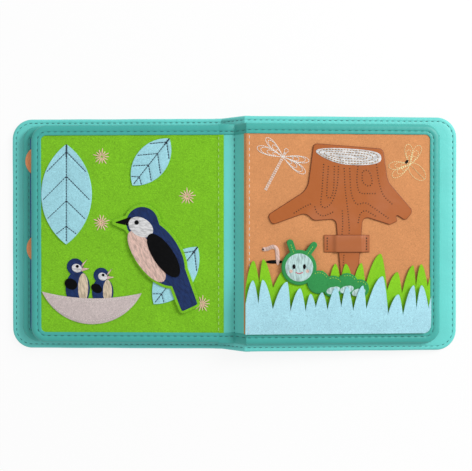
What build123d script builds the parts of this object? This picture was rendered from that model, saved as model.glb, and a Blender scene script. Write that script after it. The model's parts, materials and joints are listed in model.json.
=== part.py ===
from build123d import *
import math
import os

# Cloth quiet book lying open on a felt spread, in millimetres.
# Two padded covers and a spine panel fold about two hinge lines, which lie at their inner faces.
# Two bound, padded leaves lie on the front cover and one on the back cover.
# The origin is on the floor below the middle of the open book. +X runs across the spread, +Y to its head.
# Each half is drawn in its own frame: x = 0 at its hinge line, z = 0 at the cover's inner face.

# Covers and spine
cover_width = 190.0
cover_height = 208.0
cover_thickness = 5.0
cover_corner = 18.0
cover_edge_bevel = 1.2
lining_thickness = 0.8
lining_step = 1.2
spine_tilt = 37.0
hinge_clearance = 0.3
closing_slack = 1.3
gutter_strip_thickness = 0.7
gutter_strip_inset = 3.0
cut_overrun = 1.0

# Leaves: a U-shaped tape round the edge of two felt faces with wadding between them
leaf_thickness = 6.0
leaf_head_margin = 7.0
leaf_setback = 1.2
leaf_gap = 1.0
leaf_corner = 14.0
leaf_bevel = 1.6
green_leaf_margin = 20.8
brown_leaf_margin = 16.8
lower_leaf_margin = 10.9
lower_leaf_setback = 11.1
tape_thickness = 0.8
tape_web = 3.0
tape_width = 8.6
window_corner = 6.0
sewing_clearance = 0.1
felt_thickness = 1.0

# Sewn and loose pieces on the pages
puppet_thickness = 1.2
thread_thickness = 0.3
chick_thickness = 0.8
nest_thickness = 1.2
disc_radius = 14.0
bird_height = 92.0
bird_margin = 2.6
stump_thickness = 1.2
stump_round = 4.0
cut_face_thickness = 0.4
strap_thickness = 1.0
strap_play = 1.0
strap_joggle = 2.0
pocket_seam = 6.0
blade_tip = 1.1
grub_thickness = 2.0
grub_head = 15.4
grub_face_rim = 3.2
feeler_width = 5.2
worm_width = 3.6
worm_thickness = 0.8

# Sizes that follow from the stack of leaves in the closed book
tape_inner = leaf_thickness - tape_thickness
green_leaf_lift = leaf_thickness + leaf_gap
green_page = green_leaf_lift + tape_inner
bird_lift = green_page + felt_thickness
left_stack = bird_lift + puppet_thickness + 3 * thread_thickness
brown_page = tape_inner
grass_lift = brown_page + stump_thickness
grub_lift = grass_lift + felt_thickness
front_grass_lift = grub_lift + grub_thickness
right_stack = front_grass_lift + felt_thickness
spine_width = left_stack + right_stack + closing_slack

# Where the hinge lines and the floor put the panels
tilt = math.radians(spine_tilt)
back_hinge_height = cover_thickness + spine_width * math.sin(tilt)
edge_reach = cover_width - cover_edge_bevel
edge_angle = math.atan2(cover_thickness, edge_reach)
back_slope = math.asin(back_hinge_height / math.hypot(edge_reach, cover_thickness)) - edge_angle
rim_depth = lining_thickness + cover_edge_bevel
back_plan = cover_width * math.cos(back_slope) - rim_depth * math.sin(back_slope)
open_width = cover_width + spine_width * math.cos(tilt) + back_plan
front_hinge_x = cover_width - open_width / 2
back_hinge_x = front_hinge_x + spine_width * math.cos(tilt)
mitre_lean = (tilt + back_slope) / 2
front_place = Pos(front_hinge_x, 0, cover_thickness)
spine_place = front_place * Rot(0, -spine_tilt, 0)
back_place = Pos(back_hinge_x, 0, back_hinge_height) * Rot(0, math.degrees(back_slope), 0)

# Felt fields inside the tape, which carry the page designs
leaf_height = cover_height - 2 * leaf_head_margin
felt_height = leaf_height - 2 * tape_width
felt_foot = -felt_height / 2
green_reach = cover_width - green_leaf_margin
brown_reach = cover_width - brown_leaf_margin
lower_reach = cover_width - lower_leaf_margin
green_felt_width = green_reach - tape_width - leaf_setback
brown_felt_width = brown_reach - tape_width - leaf_setback

# Page designs, as shares of the felt field: (across, up)
large_leaf_shares = ((0.139, 0.447), (0.141, 0.950), 0.135)
upper_leaf_shares = ((0.520, 0.743), (0.726, 0.977), 0.089)
side_leaf_shares = ((0.638, 0.148), (0.883, 0.435), 0.100)
nest_tip_shares = ((0.004, 0.209), (0.570, 0.203))
nest_rim_share = (0.292, 0.176)
nest_foot_share = (0.292, 0.046)
chick_shares = (
    ((0.197, 0.335), 0.046, (0.212, 0.225), (0.068, 0.090)),
    ((0.343, 0.292), 0.042, (0.352, 0.208), (0.060, 0.072)),
)
chick_face_share = 0.62
disc_shares = ((0.021, 0.336), (0.027, -0.068))
stump_outline_shares = (
    (0.360, 0.948), (0.736, 0.923), (0.763, 0.760), (0.902, 0.613), (0.859, 0.565), (0.804, 0.598),
    (0.815, 0.563), (0.774, 0.545), (0.627, 0.588), (0.600, 0.280), (0.507, 0.280), (0.480, 0.573),
    (0.360, 0.565), (0.316, 0.603), (0.136, 0.543), (0.112, 0.593), (0.327, 0.720),
)
stump_round_shares = (0.8, 1.0, 3.5, 0.9, 0.7, 0.2, 0.5, 0.6, 0.5, 0.4, 0.4, 0.5, 1.5, 1.5, 0.9, 0.9, 3.5)
cut_face_shares = ((0.376, 0.913), (0.556, 0.930), (0.736, 0.897), (0.567, 0.842))
strap_shares = ((0.418, 0.493), (0.663, 0.410))
tongue_shares = (0.487, 0.614)
back_blade_shares = (
    (0.000, 0.235, 0.037, 0.368), (0.068, 0.255, 0.089, 0.375), (0.142, 0.233, 0.229, 0.345),
    (0.289, 0.245, 0.327, 0.335), (0.365, 0.240, 0.406, 0.320), (0.442, 0.255, 0.478, 0.352),
    (0.506, 0.264, 0.533, 0.352), (0.573, 0.255, 0.618, 0.355), (0.640, 0.243, 0.722, 0.401),
    (0.757, 0.219, 0.814, 0.310), (0.839, 0.202, 0.900, 0.343), (0.914, 0.235, 0.943, 0.349),
    (0.979, 0.237, 1.020, 0.330),
)
back_grass_end_share = (1.060, 0.237)
front_blade_shares = (
    (0.000, 0.160, 0.033, 0.272), (0.062, 0.156, 0.085, 0.275), (0.139, 0.130, 0.215, 0.265),
    (0.233, 0.120, 0.284, 0.232), (0.314, 0.118, 0.341, 0.205), (0.368, 0.138, 0.402, 0.212),
    (0.431, 0.125, 0.478, 0.236), (0.505, 0.138, 0.537, 0.240), (0.569, 0.120, 0.622, 0.245),
    (0.640, 0.127, 0.728, 0.290), (0.758, 0.105, 0.815, 0.200), (0.839, 0.094, 0.898, 0.245),
    (0.912, 0.128, 0.940, 0.245), (0.978, 0.131, 1.020, 0.240),
)
front_grass_end_share = (1.060, 0.131)
blade_bulge_share = 0.2
head_share = (0.280, 0.335)
segment_shares = ((0.385, 0.262, 0.66), (0.463, 0.240, 0.62), (0.540, 0.252, 0.62), (0.608, 0.230, 0.52))
feeler_shares = (((0.258, 0.390), (0.232, 0.457)), ((0.316, 0.388), (0.360, 0.445)))
worm_shares = ((0.087, 0.360), (0.125, 0.430), (0.169, 0.365))

# The loose bird, as shares of its height from the middle of its body
bird_share = (0.660, 0.407)
bird_head_shares = (-0.147, 0.284, 0.152)
bird_body_shares = (0.363, 0.201)
bird_lean = 124.0
bird_tail_shares = ((0.108, -0.235), (0.245, -0.137), (0.392, -0.500), (0.235, -0.569))
bird_beak_shares = ((-0.255, 0.345), (-0.255, 0.250), (-0.415, 0.288))
bird_breast_shares = (-0.104, -0.039, 0.290, 0.108)
bird_cheek_shares = (-0.172, 0.245, 0.112, 0.094)
bird_wing_shares = (0.059, -0.029, 0.245, 0.098)

up = (0, 0, 1)


def panel(start, reach, height, corner):
    """Rectangle from the hinge side at start to the free side at reach, its two free corners rounded."""
    blank = Pos(start, 0) * Rectangle(reach - start, height, align=(Align.MIN, Align.CENTER))
    return fillet(blank.vertices().group_by(Axis.X)[-1], radius=corner)


def layer(outline, bottom, thickness):
    """The outline as a flat piece of cloth that lies at height bottom."""
    return Pos(0, 0, bottom) * extrude(outline, amount=thickness, dir=up)


def bevel_rim(slab, start, size):
    """Bevel the upper and lower edges of a slab on every side but the hinge side at start."""
    faces = slab.faces().sort_by(Axis.Z)
    rim = faces[0].edges() + faces[-1].edges()
    return chamfer([edge for edge in rim if edge.center().X > start + size], length=size)


def mitre(start, toward):
    """Wedge that cuts a panel end back to the plane that halves the fold. toward is 1 or -1 along x."""
    depth = cover_thickness + cut_overrun
    lean = toward * depth * math.tan(mitre_lean)
    outer = start - toward * cut_overrun
    corners = ((outer, 0), (start, 0), (start + lean, -depth), (outer, -depth))
    face = make_face(Polyline(*corners, close=True))
    return extrude(Plane.XZ * face, amount=cover_height, both=True)


def cover_slab():
    """Padded panel with a bevelled rim, below the lining."""
    outline = panel(hinge_clearance, cover_width, cover_height, cover_corner)
    slab = layer(outline, -cover_thickness, cover_thickness - lining_thickness)
    return bevel_rim(slab, hinge_clearance, cover_edge_bevel)


def cover_lining():
    """Inner sheet of a cover, set just inside the rim."""
    inset = cover_edge_bevel + lining_step
    outline = panel(hinge_clearance, cover_width - inset, cover_height - 2 * inset, cover_corner - inset)
    return layer(outline, -lining_thickness, lining_thickness)


def leaf(start, reach):
    """A bound leaf: the tape, and between its flanges a reverse felt, the wadding and a page felt."""
    body = layer(panel(start, reach, leaf_height, leaf_corner), 0, leaf_thickness)
    body = bevel_rim(body, start, leaf_bevel)
    open_end = start - cut_overrun
    web = tape_web
    hollow = panel(open_end, reach - web, leaf_height - 2 * web, leaf_corner - web)
    window = panel(open_end, reach - tape_width, felt_height, window_corner)
    tape = body - layer(hollow, tape_thickness, leaf_thickness - 2 * tape_thickness)
    tape = tape - layer(window, 0, leaf_thickness)
    web = tape_web + sewing_clearance
    core = panel(start, reach - web, leaf_height - 2 * web, leaf_corner - web)
    pad_thickness = leaf_thickness - 2 * tape_thickness - 2 * felt_thickness
    pad_bottom = tape_thickness + felt_thickness
    return {
        "binding": tape,
        "reverse": layer(core, tape_thickness, felt_thickness),
        "pad": layer(core, pad_bottom, pad_thickness),
        "felt": layer(core, tape_inner - felt_thickness, felt_thickness),
    }


def green_spot(share):
    """Point of the green page, from its outer foot corner."""
    return Vector(share[0] * green_felt_width - green_reach + tape_width, felt_foot + share[1] * felt_height)


def brown_spot(share):
    """Point of the brown page, from its foot corner at the gutter."""
    return Vector(leaf_setback + share[0] * brown_felt_width, felt_foot + share[1] * felt_height)


def lens(base, tip, half_width):
    """Leaf outline: two arcs from base to tip, each half_width off the midrib."""
    middle = (base + tip) / 2
    side = (tip - base).rotate(Axis.Z, 90).normalized() * half_width
    return make_face([ThreePointArc(base, middle + side, tip), ThreePointArc(tip, middle - side, base)])


def blade_side(start, end):
    """Convex side of a blade, which bulges by a share of its run across the page."""
    outward = (end - start).rotate(Axis.Z, 90).normalized()
    bulge = outward * (end.X - start.X) * blade_bulge_share
    return ThreePointArc(start, (start + end) / 2 + bulge, end)


def grass(blades, end_share):
    """Row of blades with convex sides, blunt tips and sharp valleys, trimmed to the felt field."""
    roots = [brown_spot(blade[:2]) for blade in blades] + [brown_spot(end_share)]
    tips = [brown_spot(blade[2:]) for blade in blades]
    edges = []
    for root, tip, next_root in zip(roots, tips, roots[1:]):
        rise = tip + Vector(-blade_tip, -blade_tip)
        fall = tip + Vector(blade_tip, -blade_tip)
        edges.append(blade_side(root, rise))
        edges.append(Polyline(rise, tip, fall))
        edges.append(blade_side(fall, next_root))
    foot = (Vector(roots[-1].X, felt_foot), Vector(roots[0].X, felt_foot))
    edges.append(Polyline(roots[-1], *foot, roots[0]))
    return make_face(edges) & grass_field()


def grass_field():
    """The felt field of the brown page, clear of the tape."""
    reach = brown_reach - tape_width - sewing_clearance
    return panel(leaf_setback, reach, felt_height - 2 * sewing_clearance, window_corner)


def pocket(outline, seat, lift):
    """Grass felt whose foot is sewn down to seat, and whose blades stand off at height lift."""
    foot = Pos(brown_spot((0, 0))) * Rectangle(brown_felt_width, pocket_seam, align=(Align.MIN, Align.MIN))
    blades = layer(outline, lift, felt_thickness)
    return blades + layer(foot & grass_field(), seat, lift - seat + felt_thickness)


def bird_spot(share):
    """Point of the loose bird, from the middle of its body."""
    return green_spot(bird_share) + Vector(share[0], share[1]) * bird_height


def bird_oval(shares, lean, margin=0):
    """Oval field of the bird, turned by lean and grown by margin."""
    oval = Ellipse(shares[2] * bird_height + margin, shares[3] * bird_height + margin)
    return Pos(bird_spot(shares)) * Rot(0, 0, lean) * oval


def bird_corners(shares, margin=0):
    """Straight-sided field of the bird, grown by margin with round corners."""
    field = make_face(Polyline(*[bird_spot(corner) for corner in shares], close=True))
    return offset(field, margin) if margin else field


def bird_head(margin=0):
    """Round head of the bird, grown by margin."""
    return Pos(bird_spot(bird_head_shares)) * Circle(bird_head_shares[2] * bird_height + margin)


def bird_silhouette(margin=0):
    """Head, leaning body and tail of the bird as one outline, grown by margin."""
    body = bird_oval((0, 0) + bird_body_shares, bird_lean, margin)
    return body + bird_head(margin) + bird_corners(bird_tail_shares, margin)


def chick(shares, nest):
    """Head and body of a small bird that stands in the nest, cut off at the nest's rim."""
    head_share, head_size, body_share, body_size = shares
    head = Pos(green_spot(head_share)) * Circle(head_size * green_felt_width)
    body = Pos(green_spot(body_share)) * Ellipse(body_size[0] * green_felt_width, body_size[1] * felt_height)
    return head + body - offset(nest, sewing_clearance)


def chick_face(shares):
    """Pale field on a chick's head."""
    return Pos(green_spot(shares[0])) * Circle(shares[1] * green_felt_width * chick_face_share)


def strap():
    """Keeper: its two ends lie on the felt and its middle steps up over the tongue."""
    head_end = brown_spot(strap_shares[0])
    foot_end = brown_spot(strap_shares[1])
    gap_start = brown_spot((tongue_shares[0], 0)).X - strap_play
    gap_end = brown_spot((tongue_shares[1], 0)).X + strap_play
    step = stump_thickness + sewing_clearance
    under = ((head_end.X, 0), (gap_start, 0), (gap_start, step), (gap_end, step), (gap_end, 0), (foot_end.X, 0))
    top = strap_thickness
    over = (
        (foot_end.X, top), (gap_end + strap_joggle, top), (gap_end, step + top),
        (gap_start, step + top), (gap_start - strap_joggle, top), (head_end.X, top),
    )
    section = make_face(Polyline(*under, *over, close=True))
    width = head_end.Y - foot_end.Y
    return Pos(0, head_end.Y, brown_page) * extrude(Plane.XZ * section, amount=width)


def grub():
    """Round head, a row of round segments and two feelers, cut from one padded felt."""
    figure = Pos(brown_spot(head_share)) * Circle(grub_head)
    for across, upward, size_share in segment_shares:
        figure = figure + Pos(brown_spot((across, upward))) * Circle(grub_head * size_share)
    for root, tip in feeler_shares:
        figure = figure + SlotArc(Line(brown_spot(root), brown_spot(tip)), feeler_width)
    return figure


parts = {"front": {}, "spine": {}, "back": {}}
front = parts["front"]
spine = parts["spine"]
back = parts["back"]

# Covers, linings and the spine between them
front["front_cover"] = mirror(cover_slab(), about=Plane.YZ)
front["front_lining"] = mirror(cover_lining(), about=Plane.YZ)
back["back_cover"] = cover_slab() - mitre(hinge_clearance, 1)
back["back_lining"] = cover_lining() - mitre(hinge_clearance, 1)
spine_end = spine_width - hinge_clearance
spine_outline = Pos(hinge_clearance, 0) * Rectangle(
    spine_end - hinge_clearance, cover_height, align=(Align.MIN, Align.CENTER)
)
spine_slab = layer(spine_outline, -cover_thickness, cover_thickness - lining_thickness)
spine["spine_panel"] = spine_slab - mitre(spine_end, -1)
spine["spine_lining"] = layer(spine_outline, -lining_thickness, lining_thickness) - mitre(spine_end, -1)
strip_outline = Pos(gutter_strip_inset, 0) * Rectangle(
    spine_width - 2 * gutter_strip_inset, leaf_height, align=(Align.MIN, Align.CENTER)
)
spine["gutter_strip"] = layer(strip_outline, 0, gutter_strip_thickness)

# The leaf below the open one on the left, with two felt discs on its page
for name, piece in leaf(lower_leaf_setback, lower_reach).items():
    front["lower_leaf_" + name] = mirror(piece, about=Plane.YZ)
lower_width = lower_reach - lower_leaf_setback
disc = layer(Circle(disc_radius), leaf_thickness, leaf_gap)
front["lower_leaf_discs"] = Compound(
    children=[
        Pos(across * lower_width - lower_reach + disc_radius, upward * leaf_height) * disc
        for across, upward in disc_shares
    ]
)

# The green leaf and what is sewn on its page
for name, piece in leaf(leaf_setback, green_reach).items():
    front["green_leaf_" + name] = Pos(0, 0, green_leaf_lift) * mirror(piece, about=Plane.YZ)
for name, (base, tip, half_width) in {
    "large_leaf": large_leaf_shares,
    "upper_leaf": upper_leaf_shares,
    "side_leaf": side_leaf_shares,
}.items():
    outline = lens(green_spot(base), green_spot(tip), half_width * green_felt_width)
    front[name] = layer(outline, green_page, felt_thickness)
nest_left, nest_right = [green_spot(share) for share in nest_tip_shares]
nest_outline = make_face(
    [
        ThreePointArc(nest_left, green_spot(nest_rim_share), nest_right),
        ThreePointArc(nest_right, green_spot(nest_foot_share), nest_left),
    ]
)
front["nest_pocket"] = layer(nest_outline, green_page, nest_thickness)
front["chick_bodies"] = Compound(
    children=[layer(chick(shares, nest_outline), green_page, chick_thickness) for shares in chick_shares]
)
front["chick_faces"] = Compound(
    children=[layer(chick_face(shares), green_page + chick_thickness, thread_thickness) for shares in chick_shares]
)

# The loose bird: a felt backing under fields of thread
thread_level = bird_lift + puppet_thickness
marking_level = thread_level + thread_thickness
backing = bird_silhouette(bird_margin) + bird_corners(bird_beak_shares, bird_margin)
beak = bird_corners(bird_beak_shares) - bird_head(sewing_clearance)
breast = bird_oval(bird_breast_shares, bird_lean) - bird_oval(bird_cheek_shares, 0, sewing_clearance)
front["bird_backing"] = layer(backing, bird_lift, puppet_thickness)
front["bird_back"] = layer(bird_silhouette(), thread_level, thread_thickness)
front["bird_beak"] = layer(beak, thread_level, thread_thickness)
front["bird_cheek"] = layer(bird_oval(bird_cheek_shares, 0), marking_level, thread_thickness)
front["bird_breast"] = layer(breast, marking_level, thread_thickness)
wing = bird_oval(bird_wing_shares, bird_lean)
front["bird_wing"] = layer(wing, marking_level + thread_thickness, thread_thickness)

# The brown leaf, its stump flap, keeper strap, grass pockets and figures
for name, piece in leaf(leaf_setback, brown_reach).items():
    back["brown_leaf_" + name] = piece
stump_outline = FilletPolyline(
    *[brown_spot(corner) for corner in stump_outline_shares],
    radius=[share * stump_round for share in stump_round_shares],
    close=True,
)
back["stump_flap"] = layer(make_face(stump_outline), brown_page, stump_thickness)
face_left, face_top, face_right, face_low = [brown_spot(share) for share in cut_face_shares]
cut_face = make_face([ThreePointArc(face_left, face_top, face_right), ThreePointArc(face_right, face_low, face_left)])
back["stump_cut_face"] = layer(cut_face, grass_lift, cut_face_thickness)
back["keeper_strap"] = strap()
worm_root, worm_top, worm_tip = [brown_spot(share) for share in worm_shares]
back["worm"] = layer(SlotArc(ThreePointArc(worm_root, worm_top, worm_tip), worm_width), brown_page, worm_thickness)
back["grass_back"] = pocket(grass(back_blade_shares, back_grass_end_share), brown_page, grass_lift)
back["grub_body"] = layer(grub(), grub_lift, grub_thickness)
face_disc = Pos(brown_spot(head_share)) * Circle(grub_head - grub_face_rim)
back["grub_face"] = layer(face_disc, front_grass_lift, thread_thickness)
back["grass_front"] = pocket(grass(front_blade_shares, front_grass_end_share), grub_lift, front_grass_lift)

os.makedirs("parts", exist_ok=True)
places = {"front": front_place, "spine": spine_place, "back": back_place}
for half, pieces in parts.items():
    for name, piece in pieces.items():
        export_step(places[half] * piece, f"parts/{name}.step")
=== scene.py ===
import json
import math

import bmesh
import bpy
import numpy as np
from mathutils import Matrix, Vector


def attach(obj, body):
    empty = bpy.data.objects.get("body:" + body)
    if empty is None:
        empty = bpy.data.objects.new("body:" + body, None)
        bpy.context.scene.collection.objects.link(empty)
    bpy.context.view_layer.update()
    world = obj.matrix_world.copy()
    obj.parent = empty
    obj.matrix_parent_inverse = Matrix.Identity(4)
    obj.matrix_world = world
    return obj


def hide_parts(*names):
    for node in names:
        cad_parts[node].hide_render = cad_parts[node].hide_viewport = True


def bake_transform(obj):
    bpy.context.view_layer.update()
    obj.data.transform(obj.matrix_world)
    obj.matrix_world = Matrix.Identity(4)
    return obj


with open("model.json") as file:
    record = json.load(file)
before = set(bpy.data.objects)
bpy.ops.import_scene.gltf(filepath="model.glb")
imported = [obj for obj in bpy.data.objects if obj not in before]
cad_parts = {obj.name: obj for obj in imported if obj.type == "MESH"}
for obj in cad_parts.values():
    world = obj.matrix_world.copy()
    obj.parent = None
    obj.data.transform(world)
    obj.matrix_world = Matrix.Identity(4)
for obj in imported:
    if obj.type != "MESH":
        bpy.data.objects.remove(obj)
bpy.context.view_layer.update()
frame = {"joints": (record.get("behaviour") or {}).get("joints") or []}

# Covers: two padded panels of turquoise imitation leather, 5 mm thick, turned round a soft rim. A dark
# running stitch goes round the rim 3.9 mm in. The front cover lies flat and the back one slopes from the
# spine down to the floor. Each is drawn from its fold line outwards.
front_fold, back_fold = [np.array(joint["pos_m"]) * 1000 for joint in frame["joints"]]
spine_lean = math.atan2(back_fold[2] - front_fold[2], back_fold[0] - front_fold[0])
back_lean = spine_lean + math.pi / 2 - math.radians(frame["joints"][1]["range_deg"][1])
front_half = (front_fold, 0.0)
spine_half = (front_fold, spine_lean)
back_half = (back_fold, back_lean)


def place(half, x, y, z):
    """Millimetres on one panel to metres in the book's frame. x runs from the panel's fold line, y up the
    page and z off its inner face; x and z turn together by the panel's lean about the fold line."""
    fold, lean = half
    x, y, z = np.broadcast_arrays(x, y, z)
    across = fold[0] + x * math.cos(lean) - z * math.sin(lean)
    upward = fold[2] + x * math.sin(lean) + z * math.cos(lean)
    return np.stack([across, y, upward], -1) / 1000


def rim_line(start, reach, height, corner, step=4.0):
    """Three sides of a panel from the fold at the head, round its two free corners, to the fold at the
    foot. Gives the line C of corner centres and the outward normals N, so C + (corner - d) N runs d inside
    the edge."""
    half = height / 2 - corner
    far = reach - corner
    along = np.linspace(start, far, int((far - start) / step))
    down = np.linspace(half, -half, int(2 * half / step))
    turn = np.linspace(90, 0, 16)
    x = np.concatenate([along, far + 0 * turn, far + 0 * down, far + 0 * turn, along[::-1]])
    y = np.concatenate([half + 0 * along, half + 0 * turn, down, -half + 0 * turn, -half + 0 * along])
    angle = np.radians(np.concatenate([90 + 0 * along, turn, 0 * down, turn - 90, -90 + 0 * along]))
    return x, y, np.cos(angle), np.sin(angle)


def run_along(x, y):
    """How far each point of a line lies from its start, along the line."""
    return np.concatenate([[0], np.cumsum(np.hypot(np.diff(x), np.diff(y)))])


def carry_round(half, side, rim, corner, inward, level, seam_in, pitch):
    """A profile carried round a rim line: at distance inward from the edge it has height level, measured
    from the middle of the thickness. Towards the seam at seam_in the leather is drawn in by 0.12 mm at
    every stitch, and the edge wanders in by up to 0.2 mm. side is -1 for a panel that lies to the left of
    its fold line."""
    x, y, nx, ny = [line[:, None] for line in rim]
    run = run_along((x + corner * nx)[:, 0], (y + corner * ny)[:, 0])
    drawn = 0.12 * np.cos(2 * np.pi * run / pitch)[:, None] * np.exp(-((inward - seam_in) / 1.5) ** 2)
    wander = 0.05 * (2 + np.sin(run / 7.3 + 1.0) + np.sin(run / 11.9))[:, None] * np.clip(1 - inward / 2.5, 0, 1)
    middle = (level.max() + level.min()) / 2
    level = level - drawn * np.sign(level - middle)
    return place(half, side * (x + (corner - inward - wander) * nx), y + (corner - inward - wander) * ny, level)


def sew(name, shells, finishes, body, stands_for=()):
    """One piece from closed shells. A shell is an array (pieces, rows, columns, 3) whose columns close on
    themselves: each cell is a quad and each end row one face. Points that meet are merged and faces turn
    outwards."""
    points, faces, finish_of = [], [], []
    count = 0
    for number, shell in enumerate(shells):
        shell = shell[None] if shell.ndim == 3 else shell
        pieces, rows, columns = shell.shape[:3]
        index = count + np.arange(pieces * rows * columns).reshape(pieces, rows, columns)
        turned = np.roll(index, -1, 2)
        quads = np.stack([index[:, :-1], turned[:, :-1], turned[:, 1:], index[:, 1:]], -1).reshape(-1, 4)
        ends = index[:, [0, -1]].reshape(-1, columns)
        faces += quads.tolist() + ends.tolist()
        finish_of += [min(number, len(finishes) - 1)] * (len(quads) + len(ends))
        points.append(shell.reshape(-1, 3))
        count += pieces * rows * columns
    mesh = bpy.data.meshes.new(name)
    mesh.from_pydata(np.concatenate(points).tolist(), [], faces)
    mesh.polygons.foreach_set("material_index", finish_of)
    work = bmesh.new()
    work.from_mesh(mesh)
    bmesh.ops.remove_doubles(work, verts=work.verts, dist=2e-6)
    bmesh.ops.recalc_face_normals(work, faces=work.faces)
    work.to_mesh(mesh)
    work.free()
    mesh.polygons.foreach_set("use_smooth", np.ones(len(mesh.polygons), bool))
    mesh.set_sharp_from_angle(angle=math.radians(48))
    for finish in finishes:
        mesh.materials.append(finish)
    piece = bpy.data.objects.new(name, mesh)
    bpy.context.scene.collection.objects.link(piece)
    if body:
        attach(piece, body)
    if stands_for:
        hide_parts(*stands_for)
    return piece


def colour(red, green, blue, gain=1.0):
    """A screen colour from 0 to 255 as the shader's linear colour, times gain."""
    screen = np.array([red, green, blue]) / 255
    linear = np.where(screen < 0.04045, screen / 12.92, ((screen + 0.055) / 1.055) ** 2.4)
    return [*np.clip(linear * gain, 0, 1).tolist(), 1.0]


def wire(tree, kind, inputs, **settings):
    """Adds a shader node, makes its settings, and links or sets each input."""
    made = tree.nodes.new("ShaderNode" + kind)
    for key, value in settings.items():
        setattr(made, key, value)
    for key, value in inputs.items():
        if isinstance(value, bpy.types.NodeSocket):
            tree.links.new(value, made.inputs[key])
        else:
            made.inputs[key].default_value = value
    return made


def ramp(tree, factor, stops):
    """A colour ramp with stops (position, colour) driven by factor."""
    made = wire(tree, "ValToRGB", {"Fac": factor})
    elements = made.color_ramp.elements
    while len(elements) < len(stops):
        elements.new(0.5)
    for element, (position, tint) in zip(elements, stops):
        element.position = position
        element.color = tint
    return made.outputs["Color"]


def start_finish(name, roughness, specular, sheen=0.0):
    """A new material with its shader, and the piece's own coordinates for patterns."""
    finish = bpy.data.materials.new(name)
    finish.use_nodes = True
    tree = finish.node_tree
    shader = tree.nodes["Principled BSDF"]
    shader.inputs["Roughness"].default_value = roughness
    shader.inputs["Specular IOR Level"].default_value = specular
    shader.inputs["Sheen Weight"].default_value = sheen
    where = tree.nodes.new("ShaderNodeTexCoord").outputs["Object"]
    return finish, tree, shader, where


def leather(name, red, green, blue, roughness=0.5, painted_gloss=None):
    """Imitation leather: pebbled grain in cells of 0.9 mm under a finer pore noise, creases some 12 mm
    long, and a soft mottling of the dye in patches of about 40 mm. Where a second colour is given, the
    lightest patches take it instead: painted soft reflections of the lamp."""
    finish, tree, shader, where = start_finish(name, roughness, 0.42)
    cloud = wire(tree, "TexNoise", {"Vector": where, "Scale": 24.0, "Detail": 3.0})
    tint = [colour(red, green, blue, gain) for gain in (0.95, 1.0, 1.04)]
    # A given second colour replaces the lightest dye tint: it paints soft reflections of the lamp.
    dye_and_gloss_tint = colour(*painted_gloss) if painted_gloss else tint[2]
    mottled = ramp(tree, cloud.outputs["Fac"], [(0.3, tint[0]), (0.5, tint[1]), (0.72, dye_and_gloss_tint)])
    tree.links.new(mottled, shader.inputs["Base Color"])
    grain = wire(tree, "TexVoronoi", {"Vector": where, "Scale": 1100.0}, feature="SMOOTH_F1")
    pores = wire(tree, "TexNoise", {"Vector": where, "Scale": 3200.0, "Detail": 2.0})
    creases = wire(tree, "TexNoise", {"Vector": where, "Scale": 85.0, "Detail": 4.0, "Distortion": 0.6})
    soft = wire(tree, "Bump", {"Height": creases.outputs["Fac"], "Strength": 0.35, "Distance": 0.0007})
    cell = wire(tree, "Bump", {"Height": grain.outputs["Distance"], "Strength": 0.3, "Distance": 0.0002,
                               "Normal": soft.outputs["Normal"]})
    pore = wire(tree, "Bump", {"Height": pores.outputs["Fac"], "Strength": 0.2, "Distance": 0.0001,
                               "Normal": cell.outputs["Normal"]})
    tree.links.new(pore.outputs["Normal"], shader.inputs["Normal"])
    return finish


def thread(name, red, green, blue):
    """Sewing thread: a twisted ply that shows as short light and dark flecks 0.4 mm apart."""
    finish, tree, shader, where = start_finish(name, 0.55, 0.4, 0.2)
    twist = wire(tree, "TexNoise", {"Vector": where, "Scale": 2400.0, "Detail": 2.0})
    dark, light = [colour(red, green, blue, gain) for gain in (0.72, 1.2)]
    flecks = ramp(tree, twist.outputs["Fac"], [(0.35, dark), (0.65, light)])
    tree.links.new(flecks, shader.inputs["Base Color"])
    bump = wire(tree, "Bump", {"Height": twist.outputs["Fac"], "Strength": 0.5, "Distance": 0.0002})
    tree.links.new(bump.outputs["Normal"], shader.inputs["Normal"])
    return finish


def stitches(half, x, y, z, pitch, length, width):
    """Running stitch along a line of points on a panel: every pitch one spindle of that length and width,
    which dips into the cloth at both ends. Each spindle is five rings of six points."""
    x, y, z = np.broadcast_arrays(x, y, z)
    run = run_along(x, y)
    number = max(1, round(run[-1] / pitch))
    middle = (np.arange(number) + 0.5) * run[-1] / number
    share = np.array([0.0, 0.2, 0.5, 0.8, 1.0])
    spot = middle[:, None] + (share - 0.5) * min(length, 0.96 * run[-1] / number)
    px, py, pz = [np.interp(spot, run, line) for line in (x, y, z)]
    tx, ty = np.gradient(px, axis=1), np.gradient(py, axis=1)
    size = np.hypot(tx, ty) + 1e-9
    girth = 0.5 * width * np.array([0.5, 0.9, 1.0, 0.9, 0.5])
    turn = np.linspace(0, 2 * np.pi, 6, endpoint=False)
    out = girth[:, None] * np.cos(turn)
    rise = girth[:, None] * np.sin(turn) - 0.5 * width * (2 * share[:, None] - 1) ** 2
    return place(half, px[..., None] - (ty / size)[..., None] * out,
                 py[..., None] + (tx / size)[..., None] * out, pz[..., None] + rise)


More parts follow.
